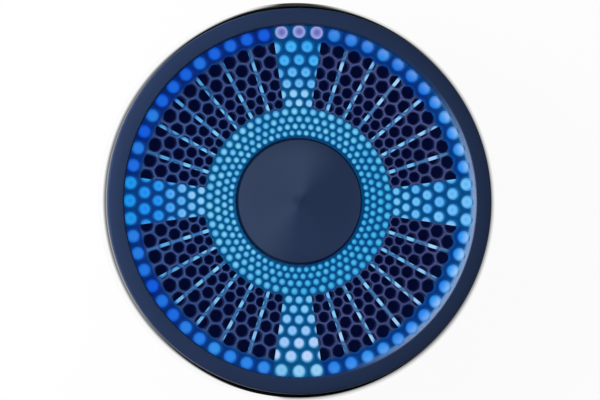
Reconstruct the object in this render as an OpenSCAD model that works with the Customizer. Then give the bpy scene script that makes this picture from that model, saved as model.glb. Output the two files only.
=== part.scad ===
// Round tabletop Bluetooth audio receiver. A low puck with a lit, perforated face,
// a press button in the middle of the face and its sockets in a bay at the back.
// Millimetres, +Z up, the table at z = 0, the socket bay towards +Y.

/* [Body] */
// Outside diameter of the polished trim ring, the widest part
body_d = 90; // [88:1:98]
// Height from the table to the top of the bezel
body_h = 30; // [30:0.5:36]
// Width of the trim ring that shows outside the bezel, seen from above
trim_w = 1.4; // [1:0.1:2]
// Width of the bezel round the face, seen from above
bezel_w = 3.85; // [3.5:0.05:4.5]
// Depth of the grille below the top of the bezel
face_drop = 2; // [1.4:0.1:2]
// How far the lower body draws in towards the base
body_taper = 2.4; // [0.6:0.1:3]

/* [Grille] */
// Holes in each row round the face
hole_count = 60; // [54:6:66]
// Rows of holes from the button out to the bezel
hole_rows = 11; // [10:1:12]
// Share of the hole pitch that is open
hole_fill = 0.74; // [0.6:0.02:0.8]
// Thickness of the grille plate
grille_t = 1.6; // [1.2:0.1:1.8]
// Depth of the lit screen below the top of the grille
screen_drop = 3.6; // [3.2:0.1:3.6]

/* [Light] */
// Rows of holes that are lit all round, next to the button
lit_rows = 4; // [3:1:5]
// Light slits in each quarter of the screen
slits = 6; // [4:1:7]
// Angle between two slits, in degrees
slit_step = 10.8; // [9.8:0.1:10.8]
// Width of one light slit
slit_w = 0.75; // [0.4:0.05:1]
// Half angle of each of the four lit sectors, in degrees
sector_half = 8.4; // [6:0.2:9]

/* [Button] */
// How far the button goes down
press = 0.6; // [0.4:0.1:0.6]
// Rise of the button's shallow cone from its rim to its middle
cap_rise = 0.5; // [0.2:0.1:0.8]
// Turns of the return spring
spring_turns = 4; // [3:0.5:4]
// Wire diameter of the return spring
spring_wire = 0.5; // [0.4:0.05:0.6]

/* [Sockets] */
// Distance between the two phono sockets
phono_pitch = 13.5; // [13:0.5:14]
// How far the phono sleeves stand out of the socket panel
phono_reach = 8.7; // [7.5:0.1:9.5]
// Bore of the line-out jack
jack_bore_d = 3.6; // [3.55:0.05:3.7]
// Sideways place of the line-out jack
jack_x = 17.8; // [17:0.2:18]
// Sideways place of the power socket
usb_x = -18.2; // [-18.4:0.2:-18]

/* [Hidden] */
$fn = 96;
over = 1;          // how far a cutter runs past what it cuts
slip = 0.1;        // clearance of a piece that drops into its seat
wall = 2;          // moulded wall

// Plan radii, from the trim ring inwards
trim_r = body_d / 2;
bezel_r = trim_r - trim_w;
face_r = bezel_r - bezel_w;
neck_r = bezel_r - 1.2;
pocket_r = neck_r - 1.5;
plate_r = pocket_r + 0.6;
hip_r = bezel_r - 0.3;
toe_r = hip_r - body_taper;
toe_round = 1.2;
base_seat_r = toe_r - toe_round - 0.7;

// The rows follow one another in a fixed ratio, so each hole has six even neighbours
row_ratio = exp(PI * sqrt(3) / hole_count);
hole_share = hole_fill * PI / hole_count;
outer_row_r = face_r / (1 + hole_share);
function row_r(row) = outer_row_r * pow(row_ratio, row - hole_rows + 1);
function row_turn(row) = (hole_rows - 1 - row) % 2 * 180 / hole_count;
hub_hole_r = row_r(0) * (1 - hole_share) - 0.42;
cap_r = hub_hole_r - 0.32;

// Heights, from the table up
foot_proud = 0.8;
base_t = 1.8;
floor_z = foot_proud + base_t;
board_z = 4.2;
board_t = 1.6;
board_top = board_z + board_t;
bay_z0 = 4.6;
bay_z1 = 17.6;
grille_top = body_h - face_drop;
grille_z = grille_top - grille_t;
print_t = 0.3;
diffuser_t = 1.4;
frame_h = 2.4;
light_board_t = 1.2;
print_z = grille_top - screen_drop - print_t;
diffuser_z = print_z - diffuser_t;
light_top = diffuser_z - frame_h;
light_board_z = light_top - light_board_t;
ledge_t = 1.5;
skirt_z = grille_z;
trim_z1 = skirt_z - 0.2;
trim_z0 = trim_z1 - 6.4;

// Screws and bosses
boss_spot_r = face_r - 5.25;
boss_angle = 35;
boss_r = 3;
pilot_r = 1.25;
case_shank_r = 1.2;
case_shank = 8;
light_shank = 6;
screw_way_r = 1.4;
boss_angles = [boss_angle, 180 - boss_angle, 180 + boss_angle, 360 - boss_angle];
post_spots = [[0, -30], [-31, 2], [31, 2]];
post_r = 2.4;
post_pilot_r = 0.85;

// Socket bay
bay_half = 24.4;
panel_y = 31.5;
panel_t = 1.8;
panel_back = panel_y - panel_t;
phono_z = (bay_z0 + bay_z1) / 2;
phono_sleeve_r = 4.15;
phono_boss_r = 5;
jack_w = 6.8;
jack_h = 5.4;
jack_len = 11.2;
barrel_r = 2.7;
jack_z = board_top + jack_h / 2;
usb_w = 8.94;
usb_h = 3.26;
usb_t = 0.3;
usb_y0 = 24.2;
usb_y1 = 31.2;
usb_z = board_top + usb_h / 2;

// Light screen and lamps
print_r0 = sqrt(row_r(lit_rows - 1) * row_r(lit_rows));
print_r1 = sqrt(row_r(hole_rows - 2) * row_r(hole_rows - 1));
screen_r = pocket_r - 1.1;
guide_wall = 1;
guide_r = hub_hole_r + 0.2;
guide_bore_r = guide_r - guide_wall;
screen_hole_r = guide_r + slip;
slit_angles = [for (q = [0:3], s = [0:slits - 1]) 90 * q + 45 + (s - (slits - 1) / 2) * slit_step];

// Button and switch
cap_rim_t = 1.2;
cap_z = grille_z + press + 0.2;
carrier_r = guide_bore_r - 0.2;
carrier_t = 1.5;
carrier_z = cap_z - carrier_t;
skirt_t = 1.2;
hook_z = light_top + 1.2;
hook_h = 1;
hook_w = 3.6;
hook_angles = [30, 150, 270];
switch_w = 6;
switch_h = 3.2;
plunger_r = 1.7;
plunger_z = light_top + switch_h - 0.4;
plunger_top = carrier_z - 0.7;

// Points of an arc about a centre, from one angle to another
function arc(centre, r, from, to, steps) =
    [for (i = [0:steps])
        let(a = from + (to - from) * i / steps)
        centre + r * [cos(a), sin(a)]];

// A flat ring or disc standing on z
module ring(r, bore, z, h) {
    translate([0, 0, z])
        linear_extrude(h)
            difference() {
                circle(r);
                if (bore > 0) circle(bore);
            }
}

// A plain rod standing on z at a place in plan
module rod(spot, r, z, h) {
    translate([spot[0], spot[1], z]) cylinder(r = r, h = h);
}

// A box given by its centre in plan, its base height and its size
module block(x, y, z, size) {
    translate([x - size[0] / 2, y - size[1] / 2, z]) cube(size);
}

// A rod along Y, from one y to another
module rod_y(x, z, r, y0, y1) {
    translate([x, y0, z]) rotate([-90, 0, 0]) cylinder(r = r, h = y1 - y0);
}

// A flat-sided slot with round ends, along Y
module slot_y(x, z, w, h, y0, y1) {
    translate([x, y1, z])
        rotate([90, 0, 0])
            linear_extrude(y1 - y0)
                union() {
                    square([w - h, h], center = true);
                    for (side = [-1, 1]) translate([side * (w - h) / 2, 0]) circle(h / 2);
                }
}

// A cross-recessed pan-head screw with its head at the top, point down
module screw(spot, head_z, head_r, head_h, shank_r, shank_len) {
    cross_w = head_r * 0.32;
    cross_l = head_r * 1.2;
    difference() {
        union() {
            rod(spot, head_r, head_z, head_h);
            rod(spot, shank_r, head_z - shank_len, shank_len);
        }
        for (size = [[cross_l, cross_w], [cross_w, cross_l]])
            block(spot[0], spot[1], head_z + head_h * 0.4, [size[0], size[1], head_h]);
    }
}

function boss_spot(angle) = boss_spot_r * [cos(angle), sin(angle)];

// Rubber ring in a groove of the base, which the receiver stands on
foot_r1 = boss_spot_r - 3.5;
foot_r0 = foot_r1 - 4.5;
groove_d = 0.7;
module foot_ring() {
    color("#1d1d1f") ring(foot_r1, foot_r0, 0, foot_proud + groove_d);
}

// Bottom plate with a foot groove, a bare label recess, counterbores and posts for the main board
screw_head_r = 2.5;
counterbore_d = 1;
label_r = 18;
label_d = 0.3;
module base_cover() {
    color("#16171a")
        difference() {
            union() {
                ring(base_seat_r - slip, 0, foot_proud, base_t);
                for (spot = post_spots) rod(spot, post_r, floor_z, board_z - floor_z);
            }
            ring(foot_r1 + slip, foot_r0 - slip, foot_proud - over, groove_d + over);
            ring(label_r, 0, foot_proud - over, label_d + over);
            for (angle = boss_angles) {
                rod(boss_spot(angle), screw_way_r, foot_proud - over, base_t + 2 * over);
                rod(boss_spot(angle), screw_head_r + 0.3, foot_proud - over, counterbore_d + over);
            }
            for (spot = post_spots) rod(spot, post_pilot_r, foot_proud + 0.7, base_t + board_z);
        }
}

// Four case screws, driven from below into the housing's bosses
module case_screws() {
    color("silver")
        for (angle = boss_angles)
            translate([0, 0, foot_proud + counterbore_d])
                mirror([0, 0, 1])
                    screw(boss_spot(angle), 0, screw_head_r, 0.8, case_shank_r, case_shank);
}

// Outer form of the housing, from its rounded toe to the neck that the trim ring slides over
module housing_form() {
    toe = arc([toe_r - toe_round, foot_proud + toe_round], toe_round, -90, 0, 8);
    rotate_extrude()
        polygon(concat([[0, foot_proud]], toe,
            [[hip_r, trim_z0], [neck_r, trim_z0], [neck_r, skirt_z], [0, skirt_z]]));
}

// Space inside the housing, with a seat for the base and a ledge for the light board
module housing_space() {
    seat_in = base_seat_r - 1.5;
    rotate_extrude()
        polygon([[0, foot_proud - over], [base_seat_r, foot_proud - over], [base_seat_r, floor_z],
            [seat_in, floor_z], [seat_in, floor_z + 1.2], [base_seat_r, floor_z + 2.4],
            [hip_r - wall, light_board_z - ledge_t - 1], [hip_r - wall, light_board_z - ledge_t],
            [pocket_r - 2.9, light_board_z - ledge_t], [pocket_r - 2.9, light_board_z],
            [pocket_r, light_board_z], [pocket_r, skirt_z + over], [0, skirt_z + over]]);
}

// Side wall of the receiver, with the socket bay let into its back
module housing() {
    rib_len = hip_r - boss_spot_r;
    rib_t = 1.6;
    rib_z = floor_z + 2;
    color("#1b1c20")
        difference() {
            union() {
                difference() {
                    housing_form();
                    housing_space();
                }
                intersection() {
                    housing_form();
                    translate([-bay_half - wall, panel_back, floor_z])
                        cube([2 * (bay_half + wall), trim_r, light_board_z - floor_z]);
                }
                for (angle = boss_angles) {
                    rod(boss_spot(angle), boss_r, floor_z, light_board_z - floor_z);
                    intersection() {
                        housing_form();
                        rotate(angle)
                            translate([boss_spot_r, -rib_t / 2, rib_z])
                                cube([rib_len, rib_t, light_board_z - 1 - rib_z]);
                    }
                }
            }
            translate([-bay_half, panel_y, bay_z0]) cube([2 * bay_half, trim_r, bay_z1 - bay_z0]);
            for (side = [-1, 1])
                rod_y(side * phono_pitch / 2, phono_z, phono_boss_r + slip,
                    panel_back - over, panel_y + over);
            rod_y(jack_x, jack_z, barrel_r + slip, panel_back - over, panel_y + over);
            slot_y(usb_x, usb_z, usb_w + 0.4, usb_h + 0.4, panel_back - over, panel_y + over);
            for (angle = boss_angles) {
                rod(boss_spot(angle), pilot_r, floor_z - over, case_shank + over);
                rod(boss_spot(angle), pilot_r, light_board_z - light_shank, light_shank + over);
            }
        }
}

// Polished band round the neck, with a half-oval section
module trim_ring() {
    mid_z = (trim_z0 + trim_z1) / 2;
    half_h = (trim_z1 - trim_z0) / 2;
    root_r = neck_r + 0.05;
    crown = trim_r - bezel_r + 0.1;
    section = [for (a = [-90:10:90]) [trim_r - crown + crown * cos(a), mid_z + half_h * sin(a)]];
    color("#d7d9dc") rotate_extrude() polygon(concat([[root_r, trim_z1], [root_r, trim_z0]], section));
}

// Top ring with a sloped inner wall, a soft outer edge and a lip over the grille's rim
edge_round = 0.9;
wall_lean = 0.6;
module top_bezel() {
    inner_edge = arc([face_r + wall_lean + 0.25, body_h - 0.25], 0.25, 165, 90, 3);
    outer_edge = arc([bezel_r - edge_round, body_h - edge_round], edge_round, 90, 0, 8);
    color("#28324b")
        rotate_extrude()
            polygon(concat([[face_r, grille_top]], inner_edge, outer_edge,
                [[bezel_r, skirt_z], [plate_r + slip, skirt_z], [plate_r + slip, grille_top]]));
}

// Face plate with its rows of holes and the opening for the button
module grille() {
    color("#2b3148")
        translate([0, 0, grille_z])
            linear_extrude(grille_t)
                difference() {
                    circle(plate_r);
                    circle(hub_hole_r);
                    for (row = [0:hole_rows - 1], i = [0:hole_count - 1])
                        rotate(90 + row_turn(row) + i * 360 / hole_count)
                            translate([row_r(row), 0]) circle(row_r(row) * hole_share);
                }
}

// One lit sector of the screen, out to a radius past the face
module sector(angle) {
    reach = trim_r;
    rotate(angle)
        polygon([[0, 0], reach * [cos(sector_half), -sin(sector_half)],
            reach * [cos(sector_half), sin(sector_half)]]);
}

// Black pads printed on the diffuser, which leave the slits, the sectors and both rims lit
module mask_print() {
    color("#060608")
        translate([0, 0, print_z])
            linear_extrude(print_t)
                difference() {
                    circle(print_r1);
                    circle(print_r0);
                    for (q = [0:3]) sector(90 * q);
                    for (angle = slit_angles)
                        rotate(angle) translate([0, -slit_w / 2]) square([trim_r, slit_w]);
                }
}

// Opal plate that spreads the light of the lamps
module light_diffuser() {
    color("#bfe6ff") ring(screen_r, screen_hole_r, diffuser_z, diffuser_t);
}

// White frame that carries the diffuser and parts the light into three rings
baffle_t = 0.7;
tab_r = 2.6;
tab_t = 1.2;
light_head_r = 2;
lamp_step = 360 / hole_count;
// The outer ribs stand midway between two lamps
link_angle = 90 - (floor((90 - boss_angle) / lamp_step) + 0.5) * lamp_step;
module frame_rib(angle, from, to) {
    rotate(angle) translate([from, -baffle_t / 2, light_top]) cube([to - from, baffle_t, frame_h]);
}

module light_frame() {
    color("white")
        difference() {
            union() {
                ring(pocket_r - 0.2, screen_r + slip, light_top, frame_h + diffuser_t);
                ring(screen_r + slip, screen_r - 0.5, light_top, frame_h);
                for (r = [print_r0, print_r1]) ring(r + baffle_t / 2, r - baffle_t / 2, light_top, frame_h);
                for (angle = boss_angles) {
                    rod(boss_spot(angle), tab_r, light_top, tab_t);
                    frame_rib(angle, print_r0, print_r1);
                }
                for (angle = [link_angle, 180 - link_angle, 180 + link_angle, 360 - link_angle])
                    frame_rib(angle, print_r1, screen_r);
            }
            for (angle = boss_angles) {
                rod(boss_spot(angle), light_head_r + 0.2, light_top + tab_t, frame_h);
                rod(boss_spot(angle), screw_way_r, light_top - over, frame_h + over);
            }
        }
}

// Screws that clamp the frame and the light board on the bosses
module light_screws() {
    color("silver")
        for (angle = boss_angles)
            screw(boss_spot(angle), light_top + tab_t, light_head_r, 0.9, case_shank_r, light_shank);
}

// White round board with the lamps and the button's switch on it
peg_r = 0.48;
peg_len = 1;
peg_spots = [for (angle = hook_angles) (guide_r - guide_wall / 2) * [cos(angle + 60), sin(angle + 60)]];
module light_board() {
    color("#e9ecec")
        difference() {
            ring(pocket_r - 0.3, 0, light_board_z, light_board_t);
            for (angle = boss_angles)
                rod(boss_spot(angle), screw_way_r, light_board_z - over, light_board_t + 2 * over);
            for (spot = peg_spots)
                rod(spot, peg_r + 0.05, light_board_z - over, light_board_t + 2 * over);
        }
}

// A lamp chip on the light board at a radius and an angle
lamp = [1.6, 0.8, 0.6];
module led(r, angle) {
    rotate(angle) block(r, 0, light_top, lamp);
}

outer_led_r = (print_r1 + screen_r) / 2;
module outer_leds() {
    color("#2f6bff")
        for (i = [2:hole_count - 2]) led(outer_led_r, 90 + i * lamp_step);
}

inner_led_count = 24;
module inner_leds() {
    color("#27d3ff")
        for (i = [0:inner_led_count - 1]) led((screen_hole_r + print_r0) / 2, i * 360 / inner_led_count);
}

module slit_leds() {
    color("#7fd8ff")
        for (angle = slit_angles) led((print_r0 + print_r1) / 2, angle);
}

module sector_leds() {
    sector_led_r = [for (share = [0.2, 0.5, 0.8]) print_r0 + share * (print_r1 - print_r0)];
    color("#4fb6ff")
        for (q = [0:3], r = sector_led_r) led(r, 90 * q);
}

module indicator_leds() {
    color("#c9b8ff")
        for (i = [-1:1]) led(outer_led_r, 90 + i * lamp_step);
}

// Clear rods that lead the status lamps' light up into three holes of the outer row
module indicator_pipes() {
    color("#dcd6ff")
        for (i = [-1:1])
            rotate(90 + i * lamp_step)
                rod([outer_row_r, 0], outer_row_r * hole_share - slip, print_z, grille_top - 0.4 - print_z);
}

// Tube that the button slides in, pegged into the light board, with windows for the hooks
module button_guide() {
    color("#101114")
        difference() {
            union() {
                ring(guide_r, guide_bore_r, light_top, grille_z - light_top);
                for (spot = peg_spots) rod(spot, peg_r, light_top - peg_len, peg_len + 0.5);
            }
            for (angle = hook_angles)
                rotate(angle)
                    translate([guide_bore_r - 1, -hook_w / 2 - 0.4, hook_z - press - 0.2])
                        cube([guide_wall + 2, hook_w + 0.8, hook_h + press + 0.25]);
        }
}

// Turned aluminium disc with a shallow cone, the only control on the face
module button_cap() {
    rim = arc([cap_r - 0.3, cap_z + cap_rim_t - 0.3], 0.3, 0, 80, 4);
    color("#2d3850")
        rotate_extrude()
            polygon(concat([[0, cap_z], [cap_r - 0.2, cap_z], [cap_r, cap_z + 0.2]], rim,
                [[0, cap_z + cap_rim_t + cap_rise]]));
}

// Moulded piston under the cap, with a boss for the switch and three hooks that hold it down
module button_carrier() {
    skirt_z0 = hook_z + hook_h + 0.1;
    leg_r = carrier_r - skirt_t;
    color("#1a1b1f")
        union() {
            ring(carrier_r, 0, carrier_z, carrier_t);
            ring(carrier_r, leg_r, skirt_z0, carrier_z - skirt_z0 + 0.2);
            rod([0, 0], 2.4, plunger_top, carrier_z - plunger_top + 0.2);
            for (angle = hook_angles)
                rotate(angle)
                    translate([0, -hook_w / 2, 0]) {
                        translate([leg_r, 0, hook_z]) cube([skirt_t - 0.15, hook_w, hook_h + 1]);
                        translate([leg_r, 0, hook_z]) cube([guide_r - 0.25 - leg_r, hook_w, hook_h]);
                    }
        }
}

// Coil spring round the switch, swept as one tube along its helix
spring_r = 5.6;
spring_sides = 6;
spring_steps = 10;
spring_low = light_top + spring_wire / 2;
spring_high = carrier_z - spring_wire / 2;
spring_rise = (spring_high - spring_low) / (spring_turns * spring_steps);
spring_points = [for (i = [0:spring_turns * spring_steps])
    let(a = 360 * i / spring_steps)
    [spring_r * cos(a), spring_r * sin(a), spring_low + spring_rise * i]];
module return_spring() {
    count = len(spring_points);
    points = [for (i = [0:count - 1], s = [0:spring_sides - 1])
        let(turn = 360 * i / spring_steps, a = 360 * (s + 0.5) / spring_sides)
        spring_points[i] + spring_wire / 2 * [cos(a) * cos(turn), cos(a) * sin(turn), sin(a)]];
    sides = [for (i = [0:count - 2], s = [0:spring_sides - 1])
        let(a = i * spring_sides + s, b = i * spring_sides + (s + 1) % spring_sides)
        each [[a, b, a + spring_sides], [b, b + spring_sides, a + spring_sides]]];
    ends = [for (s = [1:spring_sides - 2])
        each [[0, s + 1, s], (count - 1) * spring_sides * [1, 1, 1] + [0, s, s + 1]]];
    color("#b9bcc0") polyhedron(points, concat(sides, ends));
}
// Least gap between two turns of the spring
echo(spring_gap = spring_rise * spring_steps - spring_wire);

// Square tactile switch under the middle of the button
module tact_switch() {
    color("#3a3b3f")
        difference() {
            block(0, 0, light_top, [switch_w, switch_w, switch_h]);
            rod([0, 0], plunger_r + slip, plunger_z - press - 0.3, switch_h);
        }
}

// Plunger of the switch, which goes down with the button
module switch_plunger() {
    color("#0d0d0f") rod([0, 0], plunger_r, plunger_z, plunger_top - plunger_z);
}

// Main circuit board, cut straight at the socket panel and round the bosses
main_board_r = face_r - 3;
module main_board() {
    color("#0f5a3c")
        translate([0, 0, board_z])
            linear_extrude(board_t)
                difference() {
                    intersection() {
                        circle(main_board_r);
                        translate([-trim_r, panel_back - 0.3 - body_d]) square([body_d, body_d]);
                    }
                    for (angle = boss_angles) translate(boss_spot(angle)) circle(boss_r + 0.8);
                    for (spot = post_spots) translate(spot) circle(1.1);
                }
}

module board_screws() {
    color("silver")
        for (spot = post_spots) screw(spot, board_top, 1.9, 1.1, post_pilot_r - 0.05, 3.8);
}

// Radio module: its own small board, a shield can and a printed antenna at the outer end
module_x = -17.5;
module_y = -13;
module_w = 13;
module_l = 20;
module_t = 0.8;
can_l = 13;
can_h = 2;
can_margin = 0.7;
module bluetooth_module() {
    color("#12345e") block(module_x, module_y, board_top, [module_w, module_l, module_t]);
}

module module_shield() {
    color("#c3c6c9")
        block(module_x, module_y + (module_l - can_l) / 2 - can_margin, board_top + module_t,
            [module_w - 2 * can_margin, can_l, can_h]);
}

// Zigzag copper track
track_w = 0.5;
track_t = 0.1;
module antenna() {
    legs = 6;
    leg_l = 3.2;
    step = (module_w - 2.5) / legs;
    y0 = module_y - module_l / 2 + 0.8;
    x0 = module_x - module_w / 2 + 1;
    color("#d8a64a")
        union() {
            for (i = [0:legs])
                translate([x0 + i * step, y0, board_top + module_t]) cube([track_w, leg_l, track_t]);
            for (i = [0:legs - 1])
                translate([x0 + i * step, y0 + (i % 2 == 0 ? 0 : leg_l - track_w), board_top + module_t])
                    cube([step + track_w, track_w, track_t]);
        }
}

module audio_chip() {
    color("#17181a") block(9, 6, board_top, [7, 7, 1]);
}

module power_chip() {
    color("#17181a") block(-7.5, -20, board_top, [5, 6, 1.5]);
}

module crystal() {
    color("#c9ccd0") block(-8, -6, board_top, [5, 3.2, 1]);
}

module inductor() {
    color("#4a4c50") block(0, -18, board_top, [5.8, 5.8, 3]);
}

// Smoothing capacitors, in a row along the front of the board
module capacitors() {
    color("#b8bcc4")
        for (i = [0:3]) rod([8 + 7.2 * i, -17 + 2.6 * i], 3, board_top, 6.5);
}

// Chip resistors in rows beside the audio chip
module chip_resistors() {
    color("#26272b")
        for (column = [0:5], row = [0:2])
            block(1 + 3.2 * column, -2 - 2.4 * row, board_top, [1.6, 0.8, 0.5]);
}

// Flat ribbon between the two boards, and the sockets that hold its ends
ribbon_x = -20;
ribbon_y = 6;
ribbon_w = 9;
ribbon_t = 0.3;
socket_l = 5;
socket_h = 2;
ribbon_low = board_top + socket_h / 2;
ribbon_high = light_board_z - socket_h / 2;
ribbon_bend = 3.5;
module ribbon_sockets() {
    color("#e6e0d2")
        for (z = [board_top, light_board_z - socket_h])
            translate([ribbon_x, ribbon_y - ribbon_w / 2 - 1, z]) cube([socket_l, ribbon_w + 2, socket_h]);
}

// A quarter bend of the ribbon, seen from its edge
module ribbon_corner() {
    intersection() {
        difference() {
            circle(ribbon_bend + ribbon_t / 2);
            circle(ribbon_bend - ribbon_t / 2);
        }
        square(2 * ribbon_bend);
    }
}

module link_ribbon() {
    start = ribbon_x + socket_l;
    bend_x = start + 2.5;
    color("#dfe3e8")
        translate([0, ribbon_y + ribbon_w / 2, 0])
            rotate([90, 0, 0])
                linear_extrude(ribbon_w)
                    union() {
                        for (z = [ribbon_low, ribbon_high])
                            translate([start, z - ribbon_t / 2]) square([bend_x - start, ribbon_t]);
                        translate([bend_x + ribbon_bend - ribbon_t / 2, ribbon_low + ribbon_bend])
                            square([ribbon_t, ribbon_high - ribbon_low - 2 * ribbon_bend]);
                        translate([bend_x, ribbon_low + ribbon_bend]) mirror([0, 1]) ribbon_corner();
                        translate([bend_x, ribbon_high - ribbon_bend]) ribbon_corner();
                    }
}

// Black moulding of the two phono sockets, with a round boss through the panel for each
phono_depth = 11;
phono_root_r = phono_sleeve_r - 0.2;
phono_root_y = panel_back - 7;
boss_front = panel_y + 0.4;
module phono_body() {
    color("#141518")
        difference() {
            union() {
                block(0, panel_back - phono_depth / 2, board_top,
                    [phono_pitch + 2 * phono_boss_r + 2, phono_depth, 2 * (phono_z - board_top)]);
                for (side = [-1, 1])
                    rod_y(side * phono_pitch / 2, phono_z, phono_boss_r, panel_back - 0.5, boss_front);
            }
            for (side = [-1, 1])
                rod_y(side * phono_pitch / 2, phono_z, phono_root_r, phono_root_y, boss_front + over);
        }
}

// Nickel sleeves, each with a narrower root held in the moulding
phono_wall = 0.6;
module phono_sleeves() {
    bore = phono_sleeve_r - phono_wall;
    color("#cfd1d4")
        for (x = [-phono_pitch / 2, phono_pitch / 2])
            difference() {
                union() {
                    rod_y(x, phono_z, phono_root_r, phono_root_y, boss_front);
                    rod_y(x, phono_z, phono_sleeve_r, boss_front, panel_y + phono_reach);
                }
                rod_y(x, phono_z, bore, phono_root_y - over, panel_y + phono_reach + over);
            }
}

// Coloured insulators inside the sleeves, with the hole for the plug's centre pin
module phono_insert(x) {
    difference() {
        rod_y(x, phono_z, phono_sleeve_r - phono_wall, phono_root_y, panel_y + phono_reach - 1.4);
        rod_y(x, phono_z, 1.65, phono_root_y + 2, panel_y + phono_reach);
    }
}

module phono_insert_left() {
    color("#f2f2ee") phono_insert(phono_pitch / 2);
}

module phono_insert_right() {
    color("#c21f26") phono_insert(-phono_pitch / 2);
}

// Line-out jack: a moulded body with a barrel through the panel, and a metal bush in its mouth
bush_r = 2.3;
bush_len = 1;
module jack_body() {
    color("#1a1b1e")
        difference() {
            union() {
                block(jack_x, panel_back - jack_len / 2, board_top, [jack_w, jack_len, jack_h]);
                rod_y(jack_x, jack_z, barrel_r, panel_back - 0.5, panel_y);
            }
            rod_y(jack_x, jack_z, jack_bore_d / 2, panel_back - jack_len + 1, panel_y + over);
            rod_y(jack_x, jack_z, bush_r, panel_y - bush_len, panel_y + over);
        }
}

module jack_bush() {
    color("#cdd0d3")
        difference() {
            rod_y(jack_x, jack_z, bush_r, panel_y - bush_len, panel_y + 0.3);
            rod_y(jack_x, jack_z, jack_bore_d / 2, panel_y - bush_len - over, panel_y + over);
        }
}

// Power socket: a drawn steel shell round a plastic tongue
module usb_shell() {
    color("#c6c9cc")
        difference() {
            slot_y(usb_x, usb_z, usb_w, usb_h, usb_y0, usb_y1);
            slot_y(usb_x, usb_z, usb_w - 2 * usb_t, usb_h - 2 * usb_t, usb_y0 - over, usb_y1 + over);
        }
}

module usb_tongue() {
    color("#101113")
        union() {
            slot_y(usb_x, usb_z, usb_w - 2 * usb_t, usb_h - 2 * usb_t, usb_y0, usb_y0 + 2);
            block(usb_x, usb_y0 + 4.1, usb_z - 0.35, [6.7, 5, 0.7]);
        }
}

foot_ring();
base_cover();
case_screws();
housing();
trim_ring();
top_bezel();
grille();
mask_print();
light_diffuser();
light_frame();
light_screws();
light_board();
outer_leds();
inner_leds();
slit_leds();
sector_leds();
indicator_leds();
indicator_pipes();
button_guide();
button_cap();
button_carrier();
return_spring();
tact_switch();
switch_plunger();
main_board();
board_screws();
bluetooth_module();
module_shield();
antenna();
audio_chip();
power_chip();
crystal();
inductor();
capacitors();
chip_resistors();
ribbon_sockets();
link_ribbon();
phono_body();
phono_sleeves();
phono_insert_left();
phono_insert_right();
jack_body();
jack_bush();
usb_shell();
usb_tongue();
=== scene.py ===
import math

import bmesh
import bpy
from mathutils import Matrix, Vector


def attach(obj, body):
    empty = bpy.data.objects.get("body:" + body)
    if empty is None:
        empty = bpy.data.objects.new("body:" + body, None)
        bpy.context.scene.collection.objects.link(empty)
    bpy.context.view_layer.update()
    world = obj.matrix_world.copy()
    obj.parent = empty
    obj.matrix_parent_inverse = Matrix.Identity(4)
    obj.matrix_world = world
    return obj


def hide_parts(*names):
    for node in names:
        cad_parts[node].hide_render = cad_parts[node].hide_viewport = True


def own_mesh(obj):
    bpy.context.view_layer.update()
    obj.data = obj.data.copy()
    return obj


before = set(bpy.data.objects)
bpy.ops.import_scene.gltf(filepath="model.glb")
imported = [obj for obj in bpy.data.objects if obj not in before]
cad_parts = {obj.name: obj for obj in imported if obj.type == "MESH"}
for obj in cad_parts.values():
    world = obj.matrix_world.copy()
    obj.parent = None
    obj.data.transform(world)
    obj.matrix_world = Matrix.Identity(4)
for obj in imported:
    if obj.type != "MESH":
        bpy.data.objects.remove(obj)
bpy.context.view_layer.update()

# Camera. It hangs almost straight above the face, with the back of the receiver at the top of
# the picture, and leans a little to the left and to the front.
MM = 0.001
picture_width = 600
sensor_width = 36
face_z = 28 * MM
camera_far = 1.30
seen_width = 0.1350
shift_right, shift_up = 0.5, 1.2
lean_left, lean_front = math.radians(6.5), math.radians(2.2)
lean = Vector((-math.tan(lean_left), -math.tan(lean_front), 1)).normalized()
camera = bpy.data.objects.new("camera", bpy.data.cameras.new("camera"))
bpy.context.scene.collection.objects.link(camera)
camera.data.sensor_width = sensor_width
camera.data.lens = sensor_width * camera_far / seen_width
camera.data.shift_x = shift_right / picture_width
camera.data.shift_y = shift_up / picture_width
picture_right = Vector((0, 1, 0)).cross(lean).normalized()
camera_turn = Matrix((picture_right, lean.cross(picture_right), lean)).transposed().to_4x4()
camera_place = Vector((0, 0, face_z)) + lean * camera_far
camera.matrix_world = Matrix.Translation(camera_place) @ camera_turn
bpy.context.scene.camera = camera
bpy.context.scene.view_settings.view_transform = "Standard"


# Studio. White paper on the table, a near softbox at the left and soft fills all round. Polished
# metal doesn't see the lamps: it sees the paper, white walls at both sides that grow dim with
# height and are dimmer at the right, a dark room in front and behind, and a grey ceiling.
def feed(tree, socket, value):
    if isinstance(value, bpy.types.NodeSocket):
        tree.links.new(value, socket)
    else:
        socket.default_value = value


def add(tree, kind, inputs=None, **settings):
    made = tree.nodes.new("ShaderNode" + kind)
    for name, value in settings.items():
        setattr(made, name, value)
    for name, value in (inputs or {}).items():
        feed(tree, made.inputs[name], value)
    return made


def calc(tree, operation, *values):
    made = tree.nodes.new("ShaderNodeMath")
    made.operation = operation
    for i, value in enumerate(values):
        feed(tree, made.inputs[i], value)
    return made.outputs[0]


def ramp(tree, value, start, end, low, high, smooth=True):
    kind = "SMOOTHSTEP" if smooth else "LINEAR"
    span = {"Value": value, "From Min": start, "From Max": end, "To Min": low, "To Max": high}
    return add(tree, "MapRange", span, interpolation_type=kind).outputs["Result"]


def tint(tree, share, first, second):
    made = tree.nodes.new("ShaderNodeMix")
    made.data_type = "RGBA"
    feed(tree, made.inputs[0], share)
    feed(tree, made.inputs[6], first)
    feed(tree, made.inputs[7], second)
    return made.outputs[2]


def length_of(tree, x, y):
    squares = calc(tree, "ADD", calc(tree, "MULTIPLY", x, x), calc(tree, "MULTIPLY", y, y))
    return calc(tree, "SQRT", squares)


wall_edge, dark_room = (-0.12, 0.16), 0.006


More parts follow.
